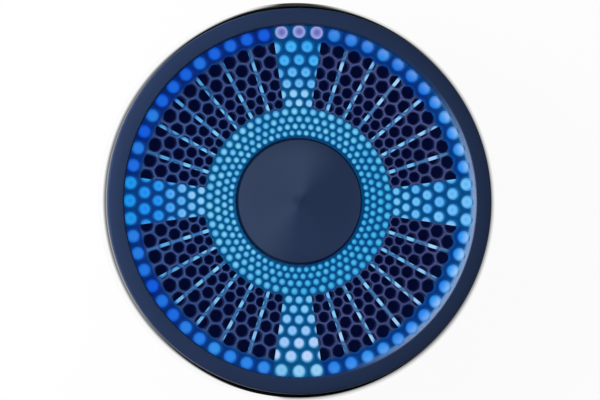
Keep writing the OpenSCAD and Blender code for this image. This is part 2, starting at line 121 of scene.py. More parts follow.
def side_share(tree, x, y, limit):
    """Nearly one where a way or a place is turned to the left or right past a limit, else none."""
    length = calc(tree, "MAXIMUM", length_of(tree, x, y), 1e-5)
    across = calc(tree, "DIVIDE", calc(tree, "ABSOLUTE", x), length)
    return ramp(tree, calc(tree, "SUBTRACT", across, limit), *wall_edge, dark_room, 1.0)


def ray_kinds(tree):
    """Whether a ray comes straight from the camera, and whether it comes off metal or glass."""
    path = add(tree, "LightPath").outputs
    return path["Is Camera Ray"], calc(tree, "MAXIMUM", path["Is Glossy Ray"], path["Is Transmission Ray"])


ceiling_starts, ceiling_full, ceiling_level = 0.88, 0.97, 0.40
wall_top, wall_end, wall_dim, right_dim = 0.60, 0.80, 0.16, 0.40
fill_level = 0.18
world = bpy.data.worlds.new("studio")
bpy.context.scene.world = world
world.use_nodes = True
sky = world.node_tree
straight, mirrored = ray_kinds(sky)
way = add(sky, "SeparateXYZ", {"Vector": add(sky, "TexCoord").outputs["Generated"]}).outputs
left_limit = ramp(sky, way["Z"], -0.10, 0.85, 0.15, 0.80, smooth=False)
right_limit = calc(sky, "ADD", ramp(sky, way["Z"], -0.10, 0.25, 0.20, 0.80, smooth=False),
                   ramp(sky, way["Y"], -0.3, 0.3, 0.0, 0.25))
right_limit = calc(sky, "MINIMUM", right_limit, 0.92)
on_right = ramp(sky, way["X"], -0.05, 0.05, 0.0, 1.0)
added = calc(sky, "MULTIPLY", on_right, calc(sky, "SUBTRACT", right_limit, left_limit))
limit = calc(sky, "ADD", left_limit, added)
left_level = ramp(sky, way["Z"], -0.10, wall_top, 1.0, wall_dim)
right_level = ramp(sky, way["Z"], -0.05, 0.25, right_dim, wall_dim)
dimmed = calc(sky, "MAXIMUM", ramp(sky, on_right, 0.0, 1.0, left_level, right_level),
              ramp(sky, way["Z"], wall_top, wall_end, wall_dim, 1.0))
walls = calc(sky, "MULTIPLY", calc(sky, "MULTIPLY", side_share(sky, way["X"], way["Y"], limit), dimmed),
             ramp(sky, way["Z"], ceiling_starts, ceiling_full, 1.0, ceiling_level))
ceiling = ramp(sky, way["Z"], ceiling_starts, ceiling_full, 0.0, ceiling_level)
room = calc(sky, "MULTIPLY", mirrored, calc(sky, "MAXIMUM", walls, ceiling))
level = calc(sky, "MAXIMUM", room, straight)
unseen = calc(sky, "SUBTRACT", 1.0, calc(sky, "MAXIMUM", mirrored, straight))
background = sky.nodes["Background"].inputs
background["Color"].default_value = (1, 1, 1, 1)
feed(sky, background["Strength"], calc(sky, "ADD", level, calc(sky, "MULTIPLY", unseen, fill_level)))

floor_half, floor_drop = 4, 0.1 * MM
paper_glow = 0.95
mesh = bmesh.new()
bmesh.ops.create_grid(mesh, x_segments=1, y_segments=1, size=floor_half)
bmesh.ops.translate(mesh, verts=mesh.verts, vec=(0, 0, -floor_drop))
floor_data = bpy.data.meshes.new("paper_floor")
mesh.to_mesh(floor_data)
mesh.free()
floor = bpy.data.objects.new("paper_floor", floor_data)
bpy.context.scene.collection.objects.link(floor)
paper = bpy.data.materials.new("white_paper")
paper.use_nodes = True
tree = paper.node_tree
tree.nodes.remove(tree.nodes["Principled BSDF"])
straight, mirrored = ray_kinds(tree)
where = add(tree, "TexCoord").outputs["Object"]
spot = add(tree, "SeparateXYZ", {"Vector": where}).outputs
fibre = add(tree, "TexNoise", {"Vector": where, "Scale": 900.0, "Detail": 3.0}).outputs["Fac"]
pulp = tint(tree, fibre, (0.80, 0.80, 0.80, 1), (0.84, 0.84, 0.84, 1))
matt = add(tree, "BsdfDiffuse", {"Color": pulp})
away = add(tree, "VectorMath", {0: where}, operation="LENGTH").outputs["Value"]
# As metal sees it, the paper glows white except behind the object, where only its sides glow; near the object
# at the right the glow is dimmed, a painted shadow.
behind = ramp(tree, spot["Y"], 0.0, 0.05, 0.0, 1.0)
on_right = ramp(tree, spot["X"], -0.01, 0.01, 0.0, 1.0)
near_limit = ramp(tree, on_right, 0.0, 1.0, 0.06, 0.16)
far_limit = ramp(tree, on_right, 0.0, 1.0, 0.28, 0.68)
back_limit = ramp(tree, away, 0.05, 0.30, near_limit, far_limit, smooth=False)
limit = ramp(tree, behind, 0.0, 1.0, -0.1, back_limit)
right_level = ramp(tree, away, 0.05, 0.18, 0.92, right_dim, smooth=False)
shade = calc(tree, "MULTIPLY", mirrored, ramp(tree, on_right, 0.0, 1.0, 1.0, right_level))
sides = calc(tree, "MULTIPLY", shade, side_share(tree, spot["X"], spot["Y"], limit))
glow = add(tree, "Emission", {"Color": (1, 1, 1, 1), "Strength": calc(tree, "MAXIMUM", straight, sides)})
seen = calc(tree, "MULTIPLY", calc(tree, "MAXIMUM", straight, mirrored), paper_glow)
both = add(tree, "MixShader", {0: seen, 1: matt.outputs[0], 2: glow.outputs[0]})
feed(tree, tree.nodes["Material Output"].inputs["Surface"], both.outputs[0])
floor_data.materials.append(paper)


def lamp(name, place, aim, size, power):
    data = bpy.data.lights.new(name, "AREA")
    data.shape = "RECTANGLE"
    data.size, data.size_y = size
    data.energy = power
    made = bpy.data.objects.new(name, data)
    bpy.context.scene.collection.objects.link(made)
    made.location = place
    made.rotation_euler = (Vector(aim) - Vector(place)).to_track_quat("-Z", "Y").to_euler()
    made.visible_camera = False
    made.visible_glossy = False


lamp("left_softbox", (-0.20, 0.05, 0.15), (0, 0, 0.02), (0.14, 0.20), 0.72)
lamp("left_strip", (-0.56, 0.26, 0.16), (0, 0, 0.03), (0.22, 0.16), 1.2)
lamp("right_softbox", (0.75, 0.0, 0.40), (0, 0, 0.02), (0.5, 0.7), 0.7)
lamp("back_softbox", (-0.15, 0.75, 0.55), (0, 0, 0.02), (0.7, 0.35), 1.1)
lamp("front_fill", (-0.1, -0.8, 0.5), (0, 0, 0.02), (0.7, 0.4), 0.8)


# Rubber foot ring. A black moulded ring, pressed into a groove of the base; both of its lower
# rims are rounded, and its surface has a fine grain.
def new_material(name):
    made = bpy.data.materials.new(name)
    made.use_nodes = True
    return made, made.node_tree, made.node_tree.nodes["Principled BSDF"]


def bend(centre, radius, start, end, steps=6):
    """Points of a round corner in a section, from one angle to another."""
    turn = [math.radians(start + (end - start) * i / steps) for i in range(steps + 1)]
    return [(centre[0] + radius * math.cos(a), centre[1] + radius * math.sin(a)) for a in turn]


def turned(mesh, section, steps=160, closed=True):
    """Spins a section, given as radius and height in millimetres, about the upright axis."""
    points = [mesh.verts.new((r * MM, 0, z * MM)) for r, z in section]
    edges = [mesh.edges.new(pair) for pair in zip(points, points[1:])]
    if closed:
        edges.append(mesh.edges.new((points[-1], points[0])))
    before = set(mesh.verts) - set(points)
    bmesh.ops.spin(mesh, geom=points + edges, cent=(0, 0, 0), axis=(0, 0, 1), angle=2 * math.pi,
                   steps=steps, use_merge=True)
    bmesh.ops.remove_doubles(mesh, verts=mesh.verts, dist=0.2e-6)
    bmesh.ops.recalc_face_normals(mesh, faces=mesh.faces)
    return [v for v in mesh.verts if v not in before]


def piece(mesh, name, material, body="receiver", stands_for=(), crease=35):
    data = bpy.data.meshes.new(name)
    mesh.to_mesh(data)
    mesh.free()
    data.polygons.foreach_set("use_smooth", [True] * len(data.polygons))
    data.set_sharp_from_angle(angle=math.radians(crease))
    data.materials.append(material)
    made = bpy.data.objects.new(name, data)
    bpy.context.scene.collection.objects.link(made)
    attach(made, body)
    if stands_for:
        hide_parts(*stands_for)
    return made


patch_scale = 70.0
grain = bpy.data.node_groups.new("moulded_grain", "ShaderNodeTree")
grain.interface.new_socket("Grain Size", in_out="INPUT", socket_type="NodeSocketFloat")
grain.interface.new_socket("Pits", in_out="OUTPUT", socket_type="NodeSocketFloat")
grain.interface.new_socket("Patches", in_out="OUTPUT", socket_type="NodeSocketFloat")
group_in, group_out = grain.nodes.new("NodeGroupInput"), grain.nodes.new("NodeGroupOutput")
where = add(grain, "TexCoord").outputs["Object"]
pit_scale = calc(grain, "DIVIDE", 1.0, group_in.outputs["Grain Size"])
pits = add(grain, "TexNoise", {"Vector": where, "Scale": pit_scale, "Detail": 2.0, "Roughness": 0.6})
patches = add(grain, "TexNoise", {"Vector": where, "Scale": patch_scale, "Detail": 3.0})
feed(grain, group_out.inputs["Pits"], pits.outputs["Fac"])
feed(grain, group_out.inputs["Patches"], patches.outputs["Fac"])


def grained(tree, grain_size):
    """Places the grain in a material, and gives back its pits and patches."""
    use = add(tree, "Group", node_tree=grain)
    use.inputs["Grain Size"].default_value = grain_size * MM
    return use.outputs["Pits"], use.outputs["Patches"]


def relief(tree, shader, height, strength, depth):
    bump = add(tree, "Bump", {"Height": height, "Strength": strength, "Distance": depth * MM})
    feed(tree, shader.inputs["Normal"], bump.outputs["Normal"])


def moulded(name, light, dark, roughness, grain_size, grain_depth, metallic=0.0, spread=0.08, gloss=0.5):
    """A moulded or cast finish: slightly uneven colour, and fine pits in gloss and relief."""
    made, tree, shader = new_material(name)
    pits, patches = grained(tree, grain_size)
    feed(tree, shader.inputs["Base Color"], tint(tree, patches, light + (1,), dark + (1,)))
    feed(tree, shader.inputs["Roughness"], ramp(tree, pits, 0.3, 0.7, roughness - spread, roughness + spread))
    relief(tree, shader, pits, 0.5, grain_depth)
    shader.inputs["Metallic"].default_value = metallic
    shader.inputs["Specular IOR Level"].default_value = gloss
    return made


foot_in, foot_out, foot_high, foot_round = 26.5, 31, 1.5, 0.5
foot_rubber = moulded("foot_rubber", (0.017, 0.017, 0.018), (0.011, 0.011, 0.012), 0.78, 0.25, 0.03)
mesh = bmesh.new()
turned(mesh, bend((foot_out - foot_round, foot_round), foot_round, -90, 0)
       + [(foot_out, foot_high), (foot_in, foot_high)]
       + bend((foot_in + foot_round, foot_round), foot_round, 180, 270))
piece(mesh, "foot", foot_rubber, stands_for=["foot_ring"])


# Bottom plate. Black moulded plastic with a matt grain, let into the housing from below; its
# middle has a shallow bare recess, and four deep holes take the case screws.
def merged_copy(node):
    """A copy of a solid's mesh with its loose triangles joined."""
    mesh = bmesh.new()
    mesh.from_mesh(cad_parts[node].data)
    bmesh.ops.remove_doubles(mesh, verts=mesh.verts, dist=1e-6)
    return mesh


def eased_copy(node, name, material, width=0.15, segments=2):
    """A solid with its sharp edges slightly rounded, as a mould leaves them."""
    mesh = merged_copy(node)
    bmesh.ops.dissolve_limit(mesh, angle_limit=math.radians(0.5), verts=mesh.verts, edges=mesh.edges)
    made = piece(mesh, name, material, stands_for=[node])
    soft = made.modifiers.new("eased_edges", "BEVEL")
    soft.width = width * MM
    soft.segments = segments
    soft.limit_method = "ANGLE"
    soft.angle_limit = math.radians(40)


black_moulding = moulded("black_moulding", (0.011, 0.011, 0.013), (0.008, 0.008, 0.009), 0.5, 0.22, 0.012)
eased_copy("base_cover", "bottom_plate", black_moulding)

# Case screws. Four zinc-plated steel screws with pan heads and a cross recess, sunk below the
# bottom plate and driven up into the housing's bosses.
zinc = moulded("zinc_plate", (0.52, 0.52, 0.53), (0.40, 0.41, 0.43), 0.34, 0.12, 0.004, metallic=1.0)
eased_copy("case_screws", "bottom_screws", zinc, width=0.12)

# Housing. The side wall in satin black plastic with a fine spark grain; the socket bay is let
# into its back, and the neck at the top is hidden by the trim ring.
shell_black = moulded("shell_black", (0.0150, 0.0155, 0.0185), (0.0105, 0.0110, 0.0135), 0.42, 0.16, 0.012)
eased_copy("housing", "side_wall", shell_black, width=0.2, segments=3)


# Phono sockets. A black moulding behind the panel holds two turned nickel sleeves with rolled
# mouths; inside each is a coloured insulator, white on the left and red on the right, with a
# spring sleeve for the plug's pin.
def lay_back(mesh, verts, x, z):
    """Turns what was spun upright to point out of the back, at a socket's place."""
    bmesh.ops.rotate(mesh, verts=verts, cent=(0, 0, 0), matrix=Matrix.Rotation(-math.pi / 2, 3, "X"))
    bmesh.ops.translate(mesh, verts=verts, vec=(x * MM, 0, z * MM))


phono_x, phono_z = 6.75, 11.1
phono_back, phono_panel, phono_front = 22.7, 31.9, 40.2
sleeve_r, mouth_r, mouth_roll = 3.95, 3.85, 0.3
collar_section = ([(sleeve_r, phono_back), (sleeve_r, phono_panel), (mouth_r + mouth_roll, phono_panel)]
                  + bend((mouth_r, phono_front - mouth_roll), mouth_roll, 0, 180, 8)
                  + [(mouth_r - mouth_roll, phono_back)])
insert_section = [(0, phono_back), (3.5, phono_back), (3.5, 38.5), (3.3, 38.7), (3.0, 38.7), (2.9, 38.4),
                  (2.6, 38.4), (2.5, 38.8), (2.05, 38.8), (1.65, 38.4), (1.65, 24.7), (0, 24.7)]
pin_section = [(1.6, 24.8), (1.6, 37.2), (1.45, 37.5), (1.3, 37.2), (1.3, 24.8)]
nickel = moulded("bright_nickel", (0.66, 0.645, 0.62), (0.58, 0.57, 0.55), 0.16, 0.4, 0.001, metallic=1.0,
                 spread=0.04)
insert_white = moulded("insert_white", (0.80, 0.80, 0.77), (0.74, 0.74, 0.70), 0.32, 0.3, 0.004)
insert_red = moulded("insert_red", (0.46, 0.010, 0.016), (0.36, 0.007, 0.012), 0.32, 0.3, 0.004)

eased_copy("phono_body", "phono_moulding", black_moulding)
mesh = bmesh.new()
for x in (-phono_x, phono_x):
    lay_back(mesh, turned(mesh, collar_section, steps=64), x, phono_z)
piece(mesh, "phono_collars", nickel, stands_for=["phono_sleeves"])
for side, x, finish, slot in (("left", phono_x, insert_white, "insert_white"),
                              ("right", -phono_x, insert_red, "insert_red")):
    mesh = bmesh.new()
    lay_back(mesh, turned(mesh, insert_section, steps=48, closed=False), x, phono_z)
    piece(mesh, side + "_insert", finish, stands_for=["phono_insert_" + side])
mesh = bmesh.new()
for x in (-phono_x, phono_x):
    lay_back(mesh, turned(mesh, pin_section, steps=32), x, phono_z)
piece(mesh, "phono_springs", nickel)

# Line-out jack. A black moulded body, soldered to the main board, with a barrel through the
# panel and a turned nickel bush pressed into its mouth.
jack_x, jack_z = 17.8, 8.5
bush_section = [(2.3, 30.5), (2.3, 31.6), (2.15, 31.8), (2.0, 31.8), (1.8, 31.6), (1.8, 30.5)]
eased_copy("jack_body", "jack_moulding", black_moulding, width=0.1)
mesh = bmesh.new()
lay_back(mesh, turned(mesh, bush_section, steps=48), jack_x, jack_z)
piece(mesh, "jack_mouth", nickel, stands_for=["jack_bush"])

# Power socket. A drawn and tinned steel shell, soldered to the main board, round a black moulded
# tongue with a row of gilt contacts on either face.
usb_x, usb_z = -18.2, 7.43
contact_count, contact_pitch = 12, 0.5
contact_size, contact_y, contact_rise = (0.26, 3.2, 0.05), 28.6, 0.36
tinned = moulded("tinned_steel", (0.60, 0.61, 0.62), (0.50, 0.51, 0.53), 0.24, 0.5, 0.001, metallic=1.0)
tongue_black = moulded("tongue_black", (0.012, 0.012, 0.013), (0.009, 0.009, 0.010), 0.4, 0.2, 0.004)
gilt = moulded("gilt_contact", (0.75, 0.50, 0.17), (0.66, 0.42, 0.13), 0.22, 0.3, 0.001, metallic=1.0)
eased_copy("usb_shell", "power_shell", tinned, width=0.08)
eased_copy("usb_tongue", "power_tongue", tongue_black, width=0.08)
mesh = bmesh.new()
for side in (-1, 1):
    for i in range(contact_count):
        x = usb_x + (i - (contact_count - 1) / 2) * contact_pitch
        made = bmesh.ops.create_cube(mesh, size=MM)["verts"]
        bmesh.ops.scale(mesh, verts=made, vec=contact_size)
        bmesh.ops.translate(mesh, verts=made, vec=Vector((x, contact_y, usb_z + side * contact_rise)) * MM)
piece(mesh, "power_contacts", gilt)

# Boards and what is soldered to them. Green glass-fibre main board and white light board with
# buried tracks, a blue radio module under a tinned can, black chips, drawn capacitor cans and
# ivory ribbon sockets; screws and the moulded parts round the switch are finished here as well.
tracks = bpy.data.node_groups.new("buried_tracks", "ShaderNodeTree")
tracks.interface.new_socket("Track Pitch", in_out="INPUT", socket_type="NodeSocketFloat")
tracks.interface.new_socket("Track", in_out="OUTPUT", socket_type="NodeSocketFloat")
group_in, group_out = tracks.nodes.new("NodeGroupInput"), tracks.nodes.new("NodeGroupOutput")
cell_scale = calc(tracks, "DIVIDE", 1.0, group_in.outputs["Track Pitch"])
cells = add(tracks, "TexVoronoi", {"Vector": add(tracks, "TexCoord").outputs["Object"], "Scale": cell_scale},
            feature="DISTANCE_TO_EDGE")
feed(tracks, group_out.inputs["Track"], ramp(tracks, cells.outputs["Distance"], 0.05, 0.09, 1.0, 0.0))


def board_finish(name, mask, track, pitch):
    made, tree, shader = new_material(name)
    use = add(tree, "Group", node_tree=tracks)
    use.inputs["Track Pitch"].default_value = pitch * MM
    track_share = use.outputs["Track"]
    feed(tree, shader.inputs["Base Color"], tint(tree, track_share, mask + (1,), track + (1,)))
    feed(tree, shader.inputs["Roughness"], ramp(tree, track_share, 0.0, 1.0, 0.32, 0.24))
    relief(tree, shader, track_share, 0.5, 0.02)
    return made


def plain_colour(red, green, blue):
    """A colour as a painter's chart gives it, from 0 to 255, made linear."""
    parts = [c / 255 for c in (red, green, blue)]
    return tuple(c / 12.92 if c <= 0.04045 else ((c + 0.055) / 1.055) ** 2.4 for c in parts)


def finish_node(name, material):
    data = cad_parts[name].data
    data.materials.clear()
    data.materials.append(material)


green_board = board_finish("green_board", (0.008, 0.085, 0.045), (0.016, 0.15, 0.075), 4.5)
blue_board = board_finish("blue_board", (0.008, 0.033, 0.105), (0.015, 0.06, 0.17), 2.5)
white_board = board_finish("white_board", (0.74, 0.76, 0.76), (0.68, 0.70, 0.71), 5.0)
chip_black = moulded("chip_black", (0.011, 0.011, 0.012), (0.008, 0.008, 0.009), 0.55, 0.1, 0.004)
ferrite = moulded("ferrite_grey", (0.060, 0.062, 0.067), (0.045, 0.046, 0.050), 0.7, 0.2, 0.02)
can = moulded("can_aluminium", (0.52, 0.54, 0.57), (0.44, 0.46, 0.50), 0.28, 0.4, 0.002, metallic=1.0)
ivory = moulded("socket_ivory", (0.78, 0.73, 0.61), (0.72, 0.67, 0.55), 0.45, 0.2, 0.006)
film = moulded("ribbon_film", (0.74, 0.76, 0.80), (0.66, 0.69, 0.73), 0.3, 0.6, 0.004)
guide_navy = moulded("guide_navy", plain_colour(48, 80, 132), plain_colour(42, 72, 122), 0.5, 0.2, 0.006)
switch_grey = moulded("switch_grey", (0.040, 0.041, 0.045), (0.030, 0.031, 0.034), 0.5, 0.2, 0.006)
for finish, node_names in ((green_board, ["main_board"]), (blue_board, ["bluetooth_module"]),
                           (white_board, ["light_board"]), (tinned, ["module_shield", "crystal"]),
                           (gilt, ["antenna"]), (ferrite, ["inductor"]), (can, ["capacitors"]),
                           (chip_black, ["audio_chip", "power_chip", "chip_resistors", "switch_plunger"]),
                           (ivory, ["ribbon_sockets"]), (film, ["link_ribbon"]),
                           (zinc, ["board_screws", "light_screws"]), (guide_navy, ["button_guide"]),
                           (switch_grey, ["tact_switch"]), (black_moulding, ["button_carrier"])):
    for node_name in node_names:
        finish_node(node_name, finish)

# Lamps. Small chips on the light board with a cloudy resin lens, soldered in rings; they glow
# blue under the outer row and the sectors, pale under the rest, and lavender at the status rods.
lens_resin, lamp_white = (0.75, 0.77, 0.72, 1), (1, 1, 1, 1)
lens_grain, lens_glow = 0.4, 0.6
for node_name, colour in (("outer_leds", (0.03, 0.20, 0.90, 1)), ("inner_leds", (0.25, 0.65, 0.95, 1)),
                          ("slit_leds", (0.25, 0.65, 0.95, 1)), ("sector_leds", (0.08, 0.40, 0.92, 1)),
                          ("indicator_leds", (0.40, 0.40, 0.85, 1))):
    lens, tree, shader = new_material(node_name + "_lens")
    pits, _ = grained(tree, lens_grain)
    feed(tree, shader.inputs["Base Color"], tint(tree, pits, lens_resin, colour))
    feed(tree, shader.inputs["Roughness"], ramp(tree, pits, 0.3, 0.7, 0.2, 0.3))
    feed(tree, shader.inputs["Emission Color"], tint(tree, pits, colour, lamp_white))
    shader.inputs["Emission Strength"].default_value = lens_glow
    finish_node(node_name, lens)

# Light frame. A white moulded ring with ribs, screwed down over the light board; it keeps the
# lamps' light apart and carries the opal plate.
frame_white = moulded("frame_white", (0.78, 0.79, 0.78), (0.73, 0.74, 0.73), 0.5, 0.2, 0.006)
mesh = merged_copy("light_frame")
bmesh.ops.dissolve_degenerate(mesh, edges=mesh.edges, dist=1e-6)
piece(mesh, "screen_frame", frame_white, stands_for=["light_frame"])


# Light screen. An opal plate laid into the frame and lit from below: pale cyan next to the
# button, blue under the outer row and paler at the right, palest towards the bezel there, where a
# glint of the key light at the left is painted into the screen's light. Each hole's light differs a
# little and fades towards its rim, and the large holes of the four sectors have a bluer heart.
def paint(red, green, blue):
    return plain_colour(red, green, blue) + (1,)


def round_place(tree, where):
    """The parts of a place, its distance from the upright axis and the way from that axis to it."""
    place = add(tree, "SeparateXYZ", {"Vector": where}).outputs
    flat = add(tree, "CombineXYZ", {"X": place["X"], "Y": place["Y"], "Z": 0.0}).outputs["Vector"]
    radius = add(tree, "VectorMath", {0: flat}, operation="LENGTH").outputs["Value"]
    outward = add(tree, "VectorMath", {0: flat}, operation="NORMALIZE").outputs["Vector"]
    return place, radius, outward


def turned_to(tree, outward, x, y):
    """How far a way outwards is turned to one side, from minus one to one."""
    return add(tree, "VectorMath", {0: outward, 1: (x, y, 0)}, operation="DOT_PRODUCT").outputs["Value"]


def filtered(tree, light, film):
    made = tint(tree, 1.0, light, film)
    made.node.blend_type = "MULTIPLY"
    return made


rows, round_count = 11, 60
pitch = 2 * math.pi / round_count
row_step = pitch * math.sqrt(3) / 2
hole = 0.74 * pitch / 2
outer_row = 39.75 / (1 + hole)
slit_first, slit_step, slit_last = 18.0, 10.8, 5.0
sector_edge, slit_edge = (7.6, 9.2), (0.20 * MM, 0.55 * MM)
inner_edge, outer_edge = (20.6 * MM, 21.8 * MM), (35.4 * MM, 36.5 * MM)
screen_light = tree = bpy.data.node_groups.new("screen_light", "ShaderNodeTree")
tree.interface.new_socket("Offset", in_out="INPUT", socket_type="NodeSocketVector")
tree.interface.new_socket("Light", in_out="OUTPUT", socket_type="NodeSocketColor")
for mask in ("Slit", "Lit"):
    tree.interface.new_socket(mask, in_out="OUTPUT", socket_type="NodeSocketFloat")
group_in, group_out = tree.nodes.new("NodeGroupInput"), tree.nodes.new("NodeGroupOutput")
where = add(tree, "VectorMath", {0: add(tree, "TexCoord").outputs["Object"], 1: group_in.outputs["Offset"]},
            operation="ADD").outputs["Vector"]
place, radius, outward = round_place(tree, where)

# Where the mask leaves the plate lit: four sectors, both rims and the slits.
angle = calc(tree, "DEGREES", calc(tree, "ARCTAN2", place["Y"], place["X"]))
quarter = calc(tree, "FLOORED_MODULO", angle, 90.0)
off_sector = calc(tree, "MINIMUM", quarter, calc(tree, "SUBTRACT", 90.0, quarter))
in_sector = ramp(tree, off_sector, *sector_edge, 1.0, 0.0)
in_inner = ramp(tree, radius, *inner_edge, 1.0, 0.0)
in_outer = ramp(tree, radius, *outer_edge, 0.0, 1.0)
lit = calc(tree, "MAXIMUM", calc(tree, "MAXIMUM", in_inner, in_outer), in_sector)
slit = calc(tree, "ROUND", calc(tree, "DIVIDE", calc(tree, "SUBTRACT", quarter, slit_first), slit_step))
slit = calc(tree, "MINIMUM", calc(tree, "MAXIMUM", slit, 0.0), slit_last)
slit_angle = calc(tree, "ADD", calc(tree, "MULTIPLY", slit, slit_step), slit_first)
off_slit = calc(tree, "RADIANS", calc(tree, "ABSOLUTE", calc(tree, "SUBTRACT", quarter, slit_angle)))
on_slit = ramp(tree, calc(tree, "MULTIPLY", off_slit, radius), *slit_edge, 1.0, 0.0)

# Which hole of the grille a point lies under, and how far it is from the middle of that hole.
rows_out = calc(tree, "LOGARITHM", calc(tree, "DIVIDE", radius, outer_row * MM), math.e)
row_place = calc(tree, "DIVIDE", rows_out, row_step)
whole_row = calc(tree, "ROUND", row_place)
stagger = calc(tree, "MULTIPLY", calc(tree, "FLOORED_MODULO", whole_row, 2.0), 0.5)
place_in_row = calc(tree, "SUBTRACT", calc(tree, "DIVIDE", angle, 360 / round_count), stagger)
whole_place = calc(tree, "ROUND", place_in_row)
off_place = calc(tree, "SUBTRACT", place_in_row, whole_place)
across = calc(tree, "MULTIPLY", off_place, pitch / hole)
along = calc(tree, "MULTIPLY", calc(tree, "SUBTRACT", row_place, whole_row), row_step / hole)
off_hole = length_of(tree, across, along)
round_place_in_row = calc(tree, "FLOORED_MODULO", whole_place, round_count)
one_hole = add(tree, "CombineXYZ", {"X": round_place_in_row, "Y": whole_row, "Z": 0.0}).outputs["Vector"]
uneven = add(tree, "TexWhiteNoise", {"Vector": one_hole}, noise_dimensions="2D").outputs["Value"]

# The colour of each zone, by the side of the face that it is on.
to_right = turned_to(tree, outward, 0.99, -0.14)
right_share = ramp(tree, to_right, -0.7, 1.0, 0.0, 1.0, smooth=False)
corner_share = ramp(tree, turned_to(tree, outward, 0.8, -0.6), -0.5, 0.9, 0.0, 1.0)
to_front = turned_to(tree, outward, 0.35, -0.94)
front_share = ramp(tree, to_front, -0.3, 0.9, 0.0, 1.0)
side_part = ramp(tree, to_front, -0.92, -0.38, 0.0, 1.0)
front_part = ramp(tree, to_front, -0.95, 0.4, 0.0, 1.0)
# Painted glint: at the right the outer row's light turns pale towards the bezel, standing in for the key
# light at the left glinting there.
by_bezel = ramp(tree, radius, 37.4 * MM, 39.6 * MM, 0.0, 1.0)
right_blue = tint(tree, by_bezel, paint(48, 152, 243), paint(160, 204, 251))
left_blue = tint(tree, uneven, paint(22, 92, 222), paint(38, 122, 222))
outer_blue = tint(tree, calc(tree, "POWER", right_share, 2.8), left_blue, right_blue)
lower_share = ramp(tree, turned_to(tree, outward, 0.0, -1.0), 0.6, 0.95, 0.0, 0.5)
outer_blue = tint(tree, lower_share, outer_blue, paint(58, 156, 240))
inner_cyan = tint(tree, corner_share, paint(130, 207, 243), paint(82, 190, 236))
slit_side = ramp(tree, turned_to(tree, outward, 0.9, -0.3), -0.85, 0.42, 0.0, 1.0)
slit_end = tint(tree, slit_side, paint(92, 166, 222), paint(158, 204, 247))
slit_cyan = tint(tree, ramp(tree, radius, 25 * MM, 32 * MM, 0.0, 1.0), paint(126, 199, 247), slit_end)
far_blue = tint(tree, side_part, paint(70, 177, 243), paint(43, 154, 242))
end_blue = tint(tree, front_share, far_blue, paint(178, 208, 250))
right_end = ramp(tree, to_right, 0.7, 0.98, 0.0, 1.0)
end_blue = tint(tree, calc(tree, "MULTIPLY", right_end, 0.7), end_blue, paint(100, 192, 248))
near_blue = tint(tree, front_part, paint(150, 203, 243), paint(114, 194, 242))
sector_blue = tint(tree, ramp(tree, radius, 22 * MM, 33 * MM, 0.0, 1.0), near_blue, end_blue)
middle = tint(tree, in_sector, slit_cyan, sector_blue)
outer_film = tint(tree, right_end, (0.62, 0.95, 0.92, 1), (1, 1, 1, 1))
outer_end = filtered(tree, end_blue, outer_film)
outer_lit = tint(tree, in_sector, outer_blue, outer_end)
zone_light = tint(tree, in_inner, tint(tree, in_outer, middle, outer_lit), inner_cyan)
lamp_film = tint(tree, uneven, (0.75, 0.90, 0.96, 1), (1.25, 1.08, 1.0, 1))
zone_light = filtered(tree, zone_light, lamp_film)

# The fade in one hole, from its heart to its rim.
large_hole = calc(tree, "MULTIPLY", in_sector, ramp(tree, radius, 23.5 * MM, 28.5 * MM, 0.0, 1.0))
heart_share = ramp(tree, to_front, -0.4, 0.94, 0.8, 0.25, smooth=False)
heart = calc(tree, "MULTIPLY", ramp(tree, off_hole, 0.1, 0.6, heart_share, 0.0), large_hole)
with_heart = tint(tree, heart, zone_light, filtered(tree, zone_light, (0.30, 0.70, 0.95, 1)))
rim_light = filtered(tree, zone_light, (0.24, 0.54, 0.72, 1))
fade_from = ramp(tree, in_inner, 0.0, 1.0, 0.5, 0.06)
light = tint(tree, ramp(tree, off_hole, fade_from, 1.0, 0.0, 1.0), with_heart, rim_light)
feed(tree, group_out.inputs["Light"], light)
feed(tree, group_out.inputs["Lit"], lit)
feed(tree, group_out.inputs["Slit"], calc(tree, "MULTIPLY", on_slit, calc(tree, "SUBTRACT", 1.0, lit)))

opal, tree, shader = new_material("opal_screen")
use = add(tree, "Group", node_tree=screen_light)
use.inputs["Offset"].default_value = (-0.35 * MM, -0.12 * MM, 0)
feed(tree, shader.inputs["Emission Color"], use.outputs["Light"])
shader.inputs["Emission Strength"].default_value = 1.0
shader.inputs["Base Color"].default_value = (0.02, 0.03, 0.05, 1)
shader.inputs["Roughness"].default_value = 0.6
shader.inputs["Specular IOR Level"].default_value = 0.1
finish_node("light_diffuser", opal)

# Light mask. Dead black pads of ink, screen-printed on the opal plate, which leave four sectors,
# thin slits and both rims lit; a trace of blue comes through.
mask_ink = moulded("mask_ink", (0.0012, 0.0013, 0.0030), (0.0008, 0.0009, 0.0020), 0.85, 0.1, 0.004)
shader = mask_ink.node_tree.nodes["Principled BSDF"]
shader.inputs["Emission Color"].default_value = (0.0001, 0.0012, 0.0200, 1)
shader.inputs["Emission Strength"].default_value = 1.0
finish_node("mask_print", mask_ink)

